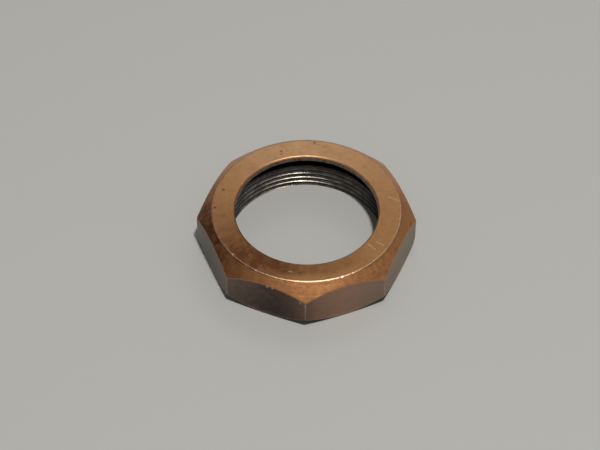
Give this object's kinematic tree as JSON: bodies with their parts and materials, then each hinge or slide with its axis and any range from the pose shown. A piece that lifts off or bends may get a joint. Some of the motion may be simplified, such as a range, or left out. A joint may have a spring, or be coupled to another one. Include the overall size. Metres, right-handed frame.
{
  "type": "octagonal ring nut",
  "caption": "Thin octagonal ring nut with an internal fine thread, an inward lip at the top of the bore and chamfered corners.",
  "frame": {"origin": "centre of the bottom face, on the thread's axis", "axes": "+Z along the bore towards the lipped top face, +X and +Y square to two of the wrench flats"},
  "size_m": [0.05, 0.05, 0.0124],
  "materials": {
    "nut_body": "bronze-toned finish, satin turned faces, worn grey on the wrench flats, bare thread crests"
  },
  "bodies": {
    "root": {"nut_body": "nut_body"}
  },
  "joints": []
}
